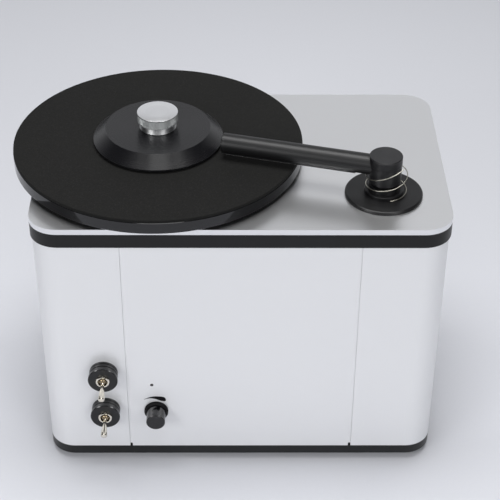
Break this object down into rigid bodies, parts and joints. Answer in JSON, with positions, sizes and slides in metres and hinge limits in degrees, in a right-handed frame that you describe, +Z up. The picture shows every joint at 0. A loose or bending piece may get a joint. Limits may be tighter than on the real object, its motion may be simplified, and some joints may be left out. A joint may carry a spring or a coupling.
{
  "type": "record cleaning machine",
  "caption": "Vacuum record cleaning machine: box body, overhanging platter with mat and clamp, sprung suction arm on a post, toggle switches and a speed knob.",
  "frame": {"origin": "centre of the bounding box at floor level, under the feet", "axes": "+Z up, -Y towards the switches, +X towards the arm post"},
  "size_m": [0.446, 0.3242, 0.3595],
  "materials": {
    "base_black": "satin black edge",
    "foot_rubber": "matt",
    "fastener_steel": "zinc plated",
    "frame_steel": "zinc plated",
    "shell_silver": "satin silver anodised",
    "cleat_black": "matt black",
    "deck_black": "satin black edge",
    "plate_silver": "fine blasted and anodised",
    "platter_black": "satin black anodised",
    "mat_rubber": "matt black",
    "spindle_steel": "ground",
    "bearing_bronze": "sintered bronze",
    "clamp_black": "satin black anodised",
    "knob_aluminium": "turned and knurled",
    "arm_black": "satin black anodised",
    "flange_black": "satin black anodised",
    "pad_velvet": "black velvet",
    "spring_steel": "bright spring wire",
    "switch_black": "satin black",
    "switch_nickel": "nickel plated",
    "switch_case": "moulded phenolic",
    "knob_black": "satin black",
    "lamp_lens": "dark lens",
    "hose_rubber": "matt black",
    "tank_plastic": "natural polyethylene",
    "motor_metal": "zinc plated",
    "motor_casting": "die cast",
    "moulding_black": "satin black moulding",
    "pin_nickel": "nickel plated",
    "spout_steel": "stainless",
    "board_green": "solder mask",
    "board_parts": "mixed components"
  },
  "bodies": {
    "chassis": {"base_plate": "base_black", "rubber_feet": "foot_rubber", "foot_screws": "fastener_steel", "corner_posts": "frame_steel", "post_screws": "fastener_steel", "left_side_shell": "shell_silver", "right_side_shell": "shell_silver", "front_panel": "shell_silver", "rear_panel": "shell_silver", "seam_cleats": "cleat_black", "rear_panel_screws": "fastener_steel", "deck_board": "deck_black", "top_plate": "plate_silver", "spindle_bearing": "bearing_bronze", "platter_motor": "motor_metal", "motor_bracket": "frame_steel", "post_flange": "flange_black", "suction_post": "spindle_steel", "post_nut": "fastener_steel", "upper_switch_collar": "switch_black", "upper_switch_bush": "switch_nickel", "upper_switch_body": "switch_case", "lower_switch_collar": "switch_black", "lower_switch_bush": "switch_nickel", "lower_switch_body": "switch_case", "speed_control": "motor_metal", "indicator_lamp": "lamp_lens", "suction_hose": "hose_rubber", "waste_tank": "tank_plastic", "air_hose": "hose_rubber", "vacuum_motor": "motor_casting", "vacuum_mount": "foot_rubber", "exhaust_duct": "moulding_black", "exhaust_grille": "moulding_black", "mains_inlet": "moulding_black", "inlet_pins": "pin_nickel", "drain_spout": "spout_steel", "control_board": "board_green", "board_parts": "board_parts"},
    "platter": {"platter": "platter_black", "platter_mat": "mat_rubber", "spindle": "spindle_steel", "drive_coupling": "frame_steel", "motor_shaft": "spindle_steel"},
    "clamp": {"clamp_disc": "clamp_black", "clamp_seal": "foot_rubber"},
    "clamp_knob": {"clamp_knob": "knob_aluminium", "clamp_retainer": "fastener_steel"},
    "arm_carrier": {"pivot_bushing": "flange_black", "lift_spring": "spring_steel"},
    "arm": {"arm_head": "arm_black", "arm_cap": "arm_black", "arm_tube": "arm_black", "arm_end_cap": "arm_black", "arm_pads": "pad_velvet"},
    "upper_lever": {"upper_lever": "switch_nickel"},
    "lower_lever": {"lower_lever": "switch_nickel"},
    "speed_knob": {"speed_knob": "knob_black", "speed_control_shaft": "spindle_steel"},
    "drain_cap": {"drain_cap": "hose_rubber"}
  },
  "joints": [
    {"name": "platter_spin", "type": "hinge", "parent": "chassis", "child": "platter", "pos_m": [-0.07275, 0.0118, 0.3265], "axis": [0, 0, 1], "continuous": true},
    {"name": "clamp_lift", "type": "slide", "parent": "platter", "child": "clamp", "axis": [0, 0, 1], "range_m": [0, 0.01]},
    {"name": "clamp_turn", "type": "hinge", "parent": "clamp", "child": "clamp_knob", "pos_m": [-0.07275, 0.0118, 0.3595], "axis": [0, 0, 1], "range_deg": [0, 1800]},
    {"name": "arm_swing", "type": "hinge", "parent": "chassis", "child": "arm_carrier", "pos_m": [0.15695, -0.0623, 0.3075], "axis": [0, 0, 1], "range_deg": [-78, 20]},
    {"name": "arm_lift", "type": "slide", "parent": "arm_carrier", "child": "arm", "axis": [0, 0, 1], "range_m": [-0.002, 0], "stiffness_N_per_m": 400, "springref_m": 0.012, "deforming": ["lift_spring"]},
    {"name": "upper_switch", "type": "hinge", "parent": "chassis", "child": "upper_lever", "pos_m": [-0.13045, -0.1367, 0.1235], "axis": [1, 0, 0], "range_deg": [-27, 0]},
    {"name": "lower_switch", "type": "hinge", "parent": "chassis", "child": "lower_lever", "pos_m": [-0.13045, -0.1367, 0.0733], "axis": [1, 0, 0], "range_deg": [-27, 0]},
    {"name": "speed_turn", "type": "hinge", "parent": "chassis", "child": "speed_knob", "pos_m": [-0.07695, -0.12419, 0.0706], "axis": [0, 1, 0], "range_deg": [-150, 150]},
    {"name": "drain_cap_pull", "type": "slide", "parent": "chassis", "child": "drain_cap", "axis": [0, 1, 0], "range_m": [0, 0.014]}
  ],
  "couplings": [
    {"joint": "clamp_turn", "follows": "clamp_lift", "rad_per_m": 3141.6}
  ]
}
